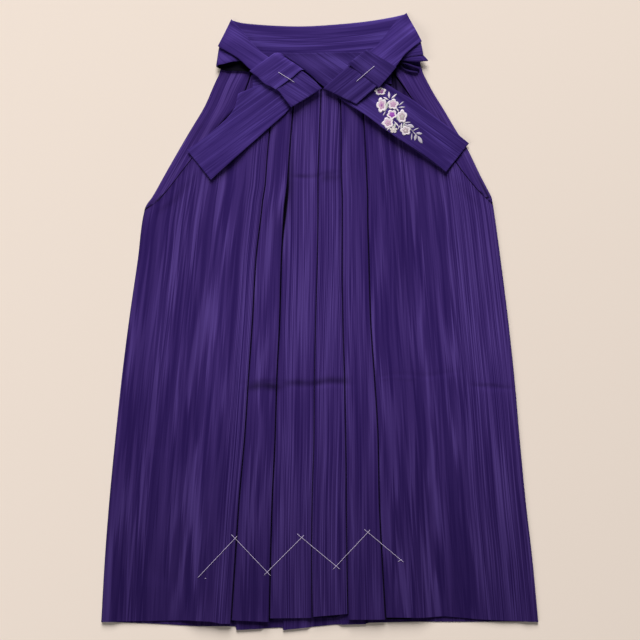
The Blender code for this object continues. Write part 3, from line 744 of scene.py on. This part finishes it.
def makeStrap(node, settings, shift):
    # a strap or band, on the heights of its own solid or of the one that it lies on
    name = node + "_cloth"
    look = strapLook
    tree = cadTree(settings.get("on", node))
    rows = alongRows(settings["rows"], look["rowStep"], settings.get("sharp", False))
    wall = settings["wall"]
    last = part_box(node)[1].z / mm
    heights = []
    for row in rows:
        line = []
        along = len(heights) / (len(rows) - 1)
        for f in acrossSteps:
            g = min(max(f, look["across"][0]), look["across"][1])
            x, y = row[0] + (row[2] - row[0]) * g, row[1] + (row[3] - row[1]) * g
            last = topOf(tree, x, y, last)
            rising = smoothStep((f - look["raisedFrom"][0]) / look["raisedFrom"][1])
            raised = settings.get("raised", 0.0) * rising
            if "lifts" in settings:
                for side, away in ((1, 1 - f), (2, f)):
                    raised += curveAt(settings["lifts"], side, along) * away ** 2
            line.append(last + settings.get("above", 0.0) + raised)
        heights.append(line)
    heights[0], heights[-1] = heights[3], heights[-4]
    heights[1], heights[2], heights[-2], heights[-3] = heights[3], heights[3], heights[-4], heights[-4]
    for _ in range(settings.get("smooth", 3)):
        old = [line[:] for line in heights]
        for r in range(1, len(rows) - 1):
            for c in range(len(acrossSteps)):
                heights[r][c] = (old[r - 1][c] + 2 * old[r][c] + old[r + 1][c]) / 4
    middles = [((r[0] + r[2]) / 2, (r[1] + r[3]) / 2) for r in rows]
    travelled = [0.0]
    for a, b in zip(middles, middles[1:]):
        travelled.append(travelled[-1] + math.hypot(b[0] - a[0], b[1] - a[1]))
    count = len(rows)
    grain = settings.get("grain")
    sections, directions = [], []
    for r, row in enumerate(rows):
        width = math.hypot(row[2] - row[0], row[3] - row[1])
        endShare = endRound.get(min(r, count - 1 - r), 1.0)
        # painted shade along the strap, where parts of it tilt toward the lamp
        shade = lineAt(settings.get("shades", [(0.0, 0.0)]), r / (count - 1))
        section = []
        for c, f in enumerate(acrossSteps):
            x, y = row[0] + (row[2] - row[0]) * f, row[1] + (row[3] - row[1]) * f
            edge = edgeRound.get(min(c, len(acrossSteps) - 1 - c), 1.0)
            half = wall / 2 * edge * endShare
            spot = Vector((x / look["puckerWidth"], y / look["puckerWidth"], shift))
            soft = look["pucker"] * noise.noise(spot) - look["pucker"] * 0.5 * abs(2 * f - 1) ** 3
            across, along = f * width, travelled[r]
            if grain:
                size = math.hypot(*grain)
                across = (x * grain[1] - y * grain[0]) / size
                along = (x * grain[0] + y * grain[1]) / size
            section.append((place(x, y, heights[r][c] - wall / 2 + soft - 0.05), half * mm,
                            (across + shift * look["apart"][0]) * mm, (along + shift * look["apart"][1]) * mm,
                            settings.get("fine", 0.25), shade))
        sections.append(section)
        a, b = middles[max(r - 1, 0)], middles[min(r + 1, count - 1)]
        directions.append(Vector((b[0] - a[0], b[1] - a[1], 0)).normalized())
    piece = buildSheet(name, sections, directions, strapCloth)
    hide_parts(node)
    print(name, "made,", len(piece.data.polygons), "faces, area", round(sheetArea(piece), 5),
          "length", round(travelled[-1]))
    return piece


backBand = {"wall": 2.0, "smooth": 1, "fine": 0.2, "rows": [  # x and y of the top edge, of the bottom edge
    (-151, 1041, -173, 996), (-129, 1036, -138, 986), (-77, 1032, -77, 977), (-26, 1031, -26, 977),
    (26, 1034, 30, 979), (78, 1039, 85, 981), (122, 1046, 136, 989), (148, 1052, 173, 1003)]}
frontBand = {"wall": 2.0, "rows": [
    (-116, 955, -116, 922), (-60, 962, -60, 927), (0, 966, 0, 932), (60, 966, 60, 933), (124, 962, 124, 930)]}
plainStrap = {"wall": 1.7, "sharp": True, "grain": (176, 127), "rows": [  # upper edge, lower edge
    (-230, 816, -188, 765), (-207, 832, -155, 794), (-185, 849, -121, 824), (-159, 872, -86, 855),
    (-146, 890, -60, 878), (-141, 913, -50, 890), (-100, 930, -20, 915), (-60, 958, 20, 945)],
    "lifts": [(0.0, 2.5, 3.5), (0.4, 2.5, 4.5), (0.6, 1.5, 3.0), (0.75, 0, 0), (1.0, 0, 0)]}
leftStrap = {"wall": 1.7, "grain": (120, -76), "rows": [  # lower edge, upper edge
    (-176, 995, -153, 1043), (-159, 985, -133, 1021), (-140, 973, -114, 998), (-126, 960, -95, 981),
    (-110, 945, -77, 972), (-96, 930, -55, 967), (-73, 918, -31, 952), (-62, 905, -13, 938),
    (-49, 888, 4, 921)],
    "lifts": [(0.0, 0, 0), (0.15, 2.5, 0), (0.5, 3.5, 0), (0.8, 4.0, 1.0), (1.0, 8.0, 4.5)],
    "shades": [(0.0, 0.0), (0.6, 0.0), (0.75, 0.12), (1.0, 0.12)]}
flowerStrap = {"wall": 1.7, "grain": (150, -106), "rows": [  # upper edge, lower edge
    (82, 986, -67, 983), (72, 972, -50, 971), (60, 962, -31, 957), (72, 952, -13, 942), (88, 942, 4, 927),
    (111, 932, 38.5, 901.5), (139, 915, 80.5, 874), (160, 903, 110, 852), (184, 885, 138.5, 833),
    (208, 867, 167, 815.5), (234, 847, 194, 797), (258, 828, 218, 778)],
    "lifts": [(0.0, 0, 0), (0.36, 0, 3.0), (0.44, 0, 8.0), (0.56, 1.0, 7.5), (0.7, 2.0, 5.0),
              (1.0, 2.0, 3.5)],
    "shades": [(0.0, 0.27), (0.33, 0.27), (0.43, 0.09), (1.0, 0.09)]}
flowerUnder = {"wall": 1.0, "grain": (150, -106), "rows": [
    (128, 905, 96, 866), (160, 896, 128, 844), (195, 868, 165, 815), (224, 844, 206, 787)]}
rightStrap = {"wall": 1.7, "grain": (-112, -88), "rows": [  # lower edge, upper edge
    (176, 1003, 150, 1054), (163, 994, 132, 1039), (146, 979, 113, 1015), (132, 960, 98, 996),
    (118, 944, 82, 985), (104, 931, 64, 973), (96, 923, 49, 960), (80, 909, 30, 943), (63, 894, 6, 921)],
    "lifts": [(0.0, 0, 0), (0.15, 2.5, 0), (0.5, 3.5, 0), (0.85, 3.0, 0), (1.0, 5.0, 2.5)],
    "shades": [(0.0, 0.0), (0.55, 0.0), (0.7, 0.27), (1.0, 0.27)]}
crossStrap = {"wall": 1.4, "grain": (44, 32), "rows": [  # upper edge, lower edge
    (-121, 951, -76, 919), (-107, 962, -62, 929), (-91, 973, -46, 941), (-77, 983, -31, 953),
    (-66, 984, -22, 950)],
    "lifts": [(0.0, 3.2, 3.2), (0.3, 1.5, 2.8), (0.6, 0, 2.0), (1.0, 0, 0.6)]}
turnStrap = {"wall": 1.0, "grain": (-40, 30), "on": "back_strap_right", "above": 1.0, "raised": 2.6,
    "rows": [  # right end, left end of each cross-section
    (132, 958, 81, 989), (118, 941, 65, 977), (101.5, 922, 48.5, 963.5)],
    "lifts": [(0.0, 3.4, 0.0), (1.0, 3.4, 0.0)],
    "shades": [(0.0, 0.26), (1.0, 0.30)]}

backBandCloth = makeStrap("back_waistband", backBand, 1)
frontBandCloth = makeStrap("front_waistband", frontBand, 2)
plainCloth = makeStrap("front_strap_plain", plainStrap, 3)
underCloth = makeStrap("front_strap_flower_under", flowerUnder, 4)
leftCloth = makeStrap("back_strap_left", leftStrap, 5)
flowerCloth = makeStrap("front_strap_flower", flowerStrap, 6)
rightCloth = makeStrap("back_strap_right", rightStrap, 7)
crossCloth = makeStrap("strap_wrap_left", crossStrap, 8)
turnCloth = makeStrap("strap_wrap_right", turnStrap, 9)


# The two ends of the front strap that are folded on themselves

openLoop = {
    "wall": 1.2, "low": 4.0, "highTop": 7.4, "highEdge": 12.0, "rows": 15, "between": 3, "fine": 0.3,
    "stops": [  # share along the cloth, x, y at the top edge, y at the lower edge, share of the height
        (0.0, -112, 985, 948.5, 0.0), (0.2, -124, 988, 951.5, 0.0), (0.4, -143, 994, 953.5, 0.0),
        (0.6, -160, 997, 953.6, 0.02), (0.8, -171, 999, 957.2, 0.15), (1.0, -175.6, 999, 960.2, 0.5),
        (1.2, -171.5, 999, 962.9, 0.85), (1.4, -162.2, 997, 964.7, 0.98), (1.6, -151, 994, 968.2, 0.85),
        (1.8, -139, 987, 969.8, 0.5), (2.0, -126, 985, 972, 0.4)],
    "lip": 2.6,          # the lower edge turns up inside the open fold
    "slant": 6.0,        # mm, the fold leans outward at the top
}


def makeLoop():
    cloth = openLoop
    stops = cloth["stops"]
    rows, steps = cloth["rows"], (len(stops) - 1) * cloth["between"]
    sections = []
    for r in range(rows):
        f = r / (rows - 1)
        section = []
        for k in range(steps + 1):
            t = stops[0][0] + (stops[-1][0] - stops[0][0]) * k / steps
            x, top, bottom, share = [curveAt(stops, c, t) for c in (1, 2, 3, 4)]
            y = top + (bottom - top) * f
            high = cloth["highTop"] + (cloth["highEdge"] - cloth["highTop"]) * smoothStep((f - 0.2) / 0.8)
            z = cloth["low"] + (high - cloth["low"]) * share
            if t < 1.0:
                z += cloth["lip"] * smoothStep((f - 0.86) / 0.14) * (1 - t)
            x -= cloth["slant"] * (f - 0.5) * max(1 - abs(t - 1.0), 0.0)
            half = cloth["wall"] / 2 * (0.4 if r in (0, rows - 1) else 1.0)
            # painted shade inside the open fold
            inside = smoothStep((1.15 - t) / 0.3) * smoothStep((f - 0.1) / 0.4)
            section.append((place(x, y, z), half * mm, (y + 40 * t) * mm, (x + 500) * mm,
                            cloth["fine"], inside))
        sections.append(section)
    return buildSheet("front_strap_loop_cloth", sections, Vector((0, -1, 0)), strapCloth)


layerFolds = {
    "wall": 1.1,
    "leaves": [  # rows of upper x, y, lower x, y, height; root first, lowest leaf first
        [(118, 981, 116, 966, 7.2), (139, 978, 142.6, 969.9, 8.0), (160, 982, 158, 969.3, 9.0),
         (175, 982, 170.7, 968.8, 9.2), (181.5, 977.2, 179, 969.2, 9.2), (187.2, 970.9, 186.8, 969.9, 8.8)],
        [(118, 986, 118, 972, 10.2), (142, 992, 140.6, 975.2, 10.6), (160, 1003, 160, 978, 11.0),
         (174, 1005.5, 178.8, 980.6, 11.0)],
    ],
    "lips": [  # rows of x, y, rim width, height; narrow upright folds between deep gaps
        [(130, 966.5, 2.0, 6.2), (140.2, 961.9, 2.0, 6.8), (144, 957.6, 2.4, 7.0), (149.5, 954.3, 2.8, 7.0),
         (159.5, 951.8, 3.0, 6.9), (169.6, 950.5, 2.8, 6.6)],
        [(130, 969.5, 2.0, 8.0), (141.5, 966.6, 2.0, 8.4), (149.7, 964.9, 2.6, 8.6), (157.9, 962.1, 3.0, 8.6),
         (165.6, 959.3, 3.2, 8.5), (172.2, 957.0, 3.0, 8.2)],
    ],
    "foot": 2.3, "slim": 0.75, "fine": 0.3, "endThin": 0.35, "edgeThin": 0.45,
    "leafRows": 18, "leafSteps": 8, "lipRows": 20,
    "lipDark": [(130, 0.97), (142, 0.8), (155, 0.5), (175, 0.42)],   # x, darkness of the painted shade on the lips
}


def spreadRows(rows, count):
    keyed = [(float(k), *row) for k, row in enumerate(rows)]
    last = len(rows) - 1
    return [[curveAt(keyed, c, last * k / count) for c in range(1, len(keyed[0]))] for k in range(count + 1)]


def makeLayers():
    cloth = layerFolds
    parts = []
    for number, rows in enumerate(cloth["leaves"]):
        sections = []
        for r, (ux, uy, lx, ly, z) in enumerate(spreadRows(rows, cloth["leafRows"])):
            width = math.hypot(lx - ux, ly - uy)
            half = cloth["wall"] / 2 * (cloth["endThin"] if r in (0, cloth["leafRows"]) else 1.0)
            section = []
            for k in range(cloth["leafSteps"] + 1):
                f = k / cloth["leafSteps"]
                x, y = ux + (lx - ux) * f, uy + (ly - uy) * f
                droop = 0.7 * (2 * f - 1) ** 4 + 0.25 * noise.noise(Vector((x / 9, y / 7, number)))
                edge = cloth["edgeThin"] if k in (0, cloth["leafSteps"]) else 1.0
                section.append((place(x, y, z - droop), half * edge * mm,
                                (f * width + 700 + 40 * number) * mm, x * mm, cloth["fine"], 0.0))
            sections.append(section)
        parts.append(buildSheet(f"leaf_{number}", sections, Vector((1, 0.1, 0)).normalized(),
                                strapCloth))
    for number, rows in enumerate(cloth["lips"]):
        sections = []
        foot = cloth["foot"]
        for r, (x, y, width, z) in enumerate(spreadRows(rows, cloth["lipRows"])):
            half = cloth["wall"] / 2 * (cloth["endThin"] if r in (0, cloth["lipRows"]) else 1.0)
            # painted shade on the lips, full on the side that goes down into the gaps
            dark = lineAt(cloth["lipDark"], x)
            width *= cloth["slim"]
            turn = [(-width / 2, z - 0.9), (-width / 4, z - 0.1), (width / 4, z), (width / 2, z - 0.9),
                    (width / 2 + 0.2, (z + foot) / 2), (width / 2 + 0.5, foot)]
            sections.append([(place(x, y + dy, dz), half * (0.7 if k == 0 else 1.0) * mm,
                              (dy - dz + 820 + 30 * number) * mm, x * mm, cloth["fine"],
                              dark if k < 4 else 1.0)
                             for k, (dy, dz) in enumerate(turn)])
        parts.append(buildSheet(f"lip_{number}", sections, Vector((-1, 0, 0)), strapCloth))
    bpy.ops.object.select_all(action="DESELECT")
    for part in parts:
        part.select_set(True)
    bpy.context.view_layer.objects.active = parts[0]
    bpy.ops.object.join()
    piece = bpy.context.object
    piece.name = "front_strap_layers_cloth"
    piece.select_set(False)
    return piece


loopCloth = makeLoop()
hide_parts("front_strap_loop")
layersCloth = makeLayers()
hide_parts("front_strap_layers")
print("folded strap ends made, areas", round(sheetArea(loopCloth), 5), round(sheetArea(layersCloth), 5))


# Sewing: embroidery on the flower strap, stitches and basting thread

# fineness of the ribs, how uneven they are, painted shade on one side of each rib, strength and height in mm
# of the relief
threadLook = {"ribs": 520.0, "unevenness": 1.5, "ribShade": 0.82, "relief": 0.3, "height": 0.2, "shine": 0.3}


def threadMaterial(name, colour, roughness=0.42):
    # rayon or cotton thread laid side by side: silky, with a fine ribbed relief
    material, tree, shader = startMaterial(name)
    spot = addNode(tree, "ShaderNodeTexCoord")
    ribs = addNode(tree, "ShaderNodeTexWave", {"bands_direction": "DIAGONAL"},
                   {"Scale": threadLook["ribs"], "Distortion": threadLook["unevenness"]},
                   {"Vector": spot.outputs["Object"]})
    full = linearColour(colour)
    # painted shade on one side of each rib
    tint = addNode(tree, "ShaderNodeMix", {"data_type": "RGBA"},
                   {"A": [c * threadLook["ribShade"] for c in full[:3]] + [1.0], "B": full},
                   {"Factor": ribs.outputs["Fac"]})
    tree.links.new(tint.outputs["Result"], shader.inputs["Base Color"])
    bump = addNode(tree, "ShaderNodeBump", {},
                   {"Strength": threadLook["relief"], "Distance": threadLook["height"] * mm},
                   {"Height": ribs.outputs["Fac"]})
    tree.links.new(bump.outputs["Normal"], shader.inputs["Normal"])
    shader.inputs["Roughness"].default_value = roughness
    shader.inputs["Specular IOR Level"].default_value = threadLook["shine"]
    return material


threads = {
    "white": threadMaterial("white rayon embroidery thread", "e9e0ea"),
    "green": threadMaterial("grey green rayon embroidery thread", "c3c9c0"),
    "pink": threadMaterial("pale pink rayon embroidery thread", "c9a3c4"),
    "mauve": threadMaterial("mauve rayon embroidery thread", "a468ae"),
    "purple": threadMaterial("strong purple rayon embroidery thread", "9a4ab4"),
    "sand": threadMaterial("pale sand rayon embroidery thread", "b9a8b2"),
    "cream": threadMaterial("cream rayon embroidery thread", "ddd6d6"),
    "silver": threadMaterial("silver grey rayon embroidery thread", "c2bccb"),
}
threadKinds = list(threads)
sprig = {
    "x": 124.5, "y": 876.2,     # middle of the strongest blossom
    "blossoms": [  # x, y, half width, half height, turn of the petals, rim, heart, centre
        (-20, 40.5, 10.5, 7.2, 20, "white", "mauve", "pink"),
        (-18, 16.5, 9.0, 13.6, 35, "white", "pink", "mauve"),
        (2, 18, 9.8, 9.8, 10, "white", "pink", "pink"),
        (0, 0, 9.2, 8.8, 50, "white", "purple", "purple"),
        (17.5, -3, 8.8, 12.2, 15, "white", "sand", "green"),
        (-7, -14.5, 10.2, 10.0, 40, "white", "pink", "sand"),
        (2.5, -26.5, 6.8, 6.0, 90, "cream", "cream", "cream"),
        (23.5, -27.5, 9.4, 8.6, 30, "white", "sand", "cream"),
    ],
    "leaves": [  # x, y, half length, half width, angle, thread
        (-10, 13.5, 8.0, 2.8, 72, "green"), (10.5, -3.5, 6.0, 2.8, 78, "green"),
        (4.5, -20, 5.4, 1.9, 80, "green"), (-5, 34, 5.4, 2.1, 92, "white"),
        (3.5, 32, 5.8, 1.7, 42, "white"), (-10.5, 28, 4.6, 1.7, 152, "white"),
        (16, 19.5, 5.0, 1.4, 40, "silver"), (17, 13, 5.4, 1.6, 5, "silver"),
        (9.5, 8.5, 3.8, 1.4, 125, "white"), (-13.5, 1.5, 4.0, 1.2, 60, "silver"),
        (26.5, -13.5, 5.2, 1.4, 8, "silver"), (25.5, -18, 5.6, 1.2, 150, "silver"),
        (20, -18.5, 4.8, 1.5, 70, "green"), (16, -20.5, 5.6, 1.5, 82, "white"),
        (8, -16.5, 6.0, 1.4, 130, "white"), (12, -22, 4.0, 1.2, 58, "silver"),
        (-6, -24.5, 4.2, 1.2, 42, "white"), (41, -25, 5.2, 1.2, 26, "silver"),
        (32.5, -19.5, 5.6, 3.6, 160, "silver"), (47, -32, 4.8, 2.5, 175, "silver"),
        (40.5, -39, 5.2, 2.6, 80, "silver"), (48.5, -43, 6.6, 3.4, 120, "silver"),
        (34, -38, 5.6, 1.3, 85, "silver"), (40, -33, 7.6, 1.1, 135, "silver"),
        (27.5, -21, 10.5, 0.8, 142, "silver"), (-15, -13, 5.0, 1.0, 42, "white"),
    ],
    "rise": 0.8, "leafRise": 0.75, "sunk": 0.2, "leafPoint": 1.35, "leafLong": 1.18,
    "blossomPoints": 40, "leafPoints": 16,
}
# share of the radius, share of the rise, zone (0 centre, 1 heart, 2 rim)
blossomRings = [(0.10, 0.95, 0), (0.20, 0.75, 0), (0.24, 0.62, 1), (0.38, 0.9, 1), (0.50, 0.75, 1),
                (0.56, 0.42, 1), (0.60, 0.42, 2), (0.70, 0.9, 2), (0.82, 1.0, 2), (0.93, 0.72, 2),
                (1.0, -0.2, 2)]
leafRings = [(0.35, 1.0, 0), (0.7, 0.8, 0), (0.9, 0.45, 0), (1.0, -0.2, 0)]


def stitchedPatch(data, tree, centre, halfA, halfB, angle, rings, outline, kinds, rise):
    # a dome of thread on the cloth: rings of points around its middle, then the closed underside
    verts, faces, zones = data
    turn = math.radians(angle)
    count = sprig["blossomPoints"] if rings is blossomRings else sprig["leafPoints"]
    level = topOf(tree, *centre, 6.0)

    def spot(f, a, height):
        r = f * outline(a)
        u, v = halfA * r * math.cos(a), halfB * r * math.sin(a)
        x = centre[0] + u * math.cos(turn) - v * math.sin(turn)
        y = centre[1] + u * math.sin(turn) + v * math.cos(turn)
        return place(x, y, topOf(tree, x, y, level) + height)

    first = len(verts)
    verts.append(spot(0, 0, rise * rings[0][1]))
    for f, share, zone in rings:
        for k in range(count):
            verts.append(spot(f, math.tau * k / count, rise * share))
    verts.append(spot(0, 0, -sprig["sunk"]))
    for k in range(count):
        n = (k + 1) % count
        faces.append((first, first + 1 + k, first + 1 + n))
        zones.append(threadKinds.index(kinds[rings[0][2]]))
        for r in range(1, len(rings)):
            a, b = first + 1 + (r - 1) * count, first + 1 + r * count
            faces.append((a + k, b + k, b + n, a + n))
            zones.append(threadKinds.index(kinds[rings[r][2]]))
        edge = first + 1 + (len(rings) - 1) * count
        faces.append((edge + n, edge + k, len(verts) - 1))
        zones.append(threadKinds.index(kinds[rings[-1][2]]))


def meshPiece(name, verts, faces):
    mesh = bpy.data.meshes.new(name)
    mesh.from_pydata(verts, [], faces)
    piece = addObject(name, mesh)
    for polygon in mesh.polygons:
        polygon.use_smooth = True
    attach(piece, "root")
    return piece


def makeEmbroidery():
    tree = treeOf(flowerCloth)
    data = ([], [], [])
    for x, y, halfA, halfB, turn, rim, heart, centre in sprig["blossoms"]:
        def outline(a):
            return 0.66 + 0.38 * abs(math.cos(2.5 * (a - math.radians(turn)))) ** 0.6
        stitchedPatch(data, tree, (sprig["x"] + x, sprig["y"] + y), halfA, halfB, 0, blossomRings, outline,
                      (centre, heart, rim), sprig["rise"])

    def leafOutline(a):
        # between an ellipse and a diamond, so that both ends are pointed
        power = sprig["leafPoint"]
        return (abs(math.cos(a)) ** power + abs(math.sin(a)) ** power) ** (-1 / power)

    for x, y, length, width, angle, thread in sprig["leaves"]:
        stitchedPatch(data, tree, (sprig["x"] + x, sprig["y"] + y), length * sprig["leafLong"], width, angle,
                      leafRings, leafOutline, (thread,), sprig["rise"] * sprig["leafRise"])
    piece = meshPiece("embroidered_sprig", data[0], data[1])
    for thread in threads.values():
        piece.data.materials.append(thread)
    piece.data.polygons.foreach_set("material_index", data[2])
    return piece


embroidery = makeEmbroidery()
print("embroidery made,", len(embroidery.data.polygons), "faces")

basting = {
    "thickness": 0.75, "step": 2.5, "sides": 6,
    "runs": [  # x, y at both ends of each long stitch, past its neighbours so that they cross
        [(-211, 77), (-143, 149)], [(-152.5, 152), (-84, 80)], [(-96.5, 81.5), (-27.5, 150.5)],
        [(-39, 153), (35, 92)], [(23, 92), (87, 160)], [(77, 161), (145, 104)],
        [(135, 105), (141.5, 109)], [(-198.5, 76.5), (-196, 76)],
    ],
}
strapStitches = {
    "thickness": 0.95, "step": 2.0, "sides": 6,
    "runs": [[(-71.5, 949), (-43.5, 931.5)], [(94, 959.5), (63, 933)]],
}


def makeThread(name, settings, pieces, material):
    # long stitches that lie on the cloth, dipping into it at both ends
    trees = [treeOf(piece) for piece in pieces]
    radius = settings["thickness"] / 2
    verts, faces = [], []
    for (x0, y0), (x1, y1) in settings["runs"]:
        length = math.hypot(x1 - x0, y1 - y0)
        count = max(2, round(length / settings["step"]))
        side = Vector((-(y1 - y0), x1 - x0, 0)) / length
        heights = []
        for k in range(count + 1):
            x, y = x0 + (x1 - x0) * k / count, y0 + (y1 - y0) * k / count
            heights.append(max(topOf(tree, x, y, 0.0) for tree in trees))
        taut = [max(heights[max(k - 1, 0):k + 2]) for k in range(count + 1)]
        first = len(verts)
        for k in range(count + 1):
            ends = 1.0 if 0 < k < count else -0.6
            x, y = x0 + (x1 - x0) * k / count, y0 + (y1 - y0) * k / count
            for i in range(settings["sides"]):
                a = math.tau * i / settings["sides"]
                verts.append(place(x + side.x * radius * math.cos(a), y + side.y * radius * math.cos(a),
                                   taut[k] + radius * ends + radius * math.sin(a)))
        sides = settings["sides"]
        for k in range(count):
            for i in range(sides):
                j = (i + 1) % sides
                a, b = first + k * sides, first + (k + 1) * sides
                faces.append((a + i, b + i, b + j, a + j))
        faces.append(tuple(first + i for i in range(sides)))
        faces.append(tuple(first + count * sides + i for i in reversed(range(sides))))
    piece = meshPiece(name, verts, faces)
    faceOutward(piece.data)
    piece.data.materials.append(material)
    return piece


cottonThread = threadMaterial("loose white cotton basting thread", "cfc4e4", 0.7)
makeThread("basting_thread", basting, [frontCloth], cottonThread)
makeThread("strap_stitches", strapStitches, [leftCloth, crossCloth, rightCloth, turnCloth], cottonThread)
print("stitches made")


# The cut of each piece, as far as it shows

# Camera, floor and light

view = {"lens": 85.0, "sensor": 36.0, "x": 0.4, "y": 522.5,
        "cover": 1107.2, "level": 4.0}      # mm seen from side to side, and the height where that holds
camera = addObject("camera", bpy.data.cameras.new("camera"))
camera.data.sensor_width = view["sensor"]
camera.data.lens = view["lens"]
camera.location = place(view["x"], view["y"], view["cover"] * view["lens"] / view["sensor"] + view["level"])
bpy.context.scene.camera = camera

floorLook = {"colour": "f0e4d9", "roughness": 0.9}
bpy.ops.object.select_all(action="DESELECT")
bpy.ops.mesh.primitive_plane_add(size=8.0, location=(0, 0, -0.0003))
floor = bpy.context.object
floor.name = "floor"
floorMaterial, tree, shader = startMaterial("matt cream board")  # plain, without shine
shader.inputs["Base Color"].default_value = linearColour(floorLook["colour"])
shader.inputs["Roughness"].default_value = floorLook["roughness"]
floor.data.materials.append(floorMaterial)

lights = {
    "key": {"place": (-0.8, 14.0, 7.9), "size": 8.5, "power": 4290.0, "colour": (1.0, 0.965, 0.935)},
    "fill": {"place": (-3.2, -1.4, 2.8), "size": 2.6, "power": 44.0, "colour": (1.0, 0.965, 0.945)},
}
for name, spec in lights.items():
    data = bpy.data.lights.new(name, "AREA")
    data.size = spec["size"]
    data.energy = spec["power"]
    data.color = spec["colour"]
    lamp = addObject(name, data)
    lamp.location = spec["place"]
    lamp.rotation_euler = (Vector((0, 0, 0)) - lamp.location).to_track_quat("-Z", "Y").to_euler()
world = bpy.data.worlds.new("soft room")
world.use_nodes = True
world.node_tree.nodes["Background"].inputs["Color"].default_value = (1.0, 0.98, 0.95, 1.0)
world.node_tree.nodes["Background"].inputs["Strength"].default_value = 0.05
bpy.context.scene.world = world
bpy.context.scene.view_settings.view_transform = "Standard"
print("camera, floor and light made")
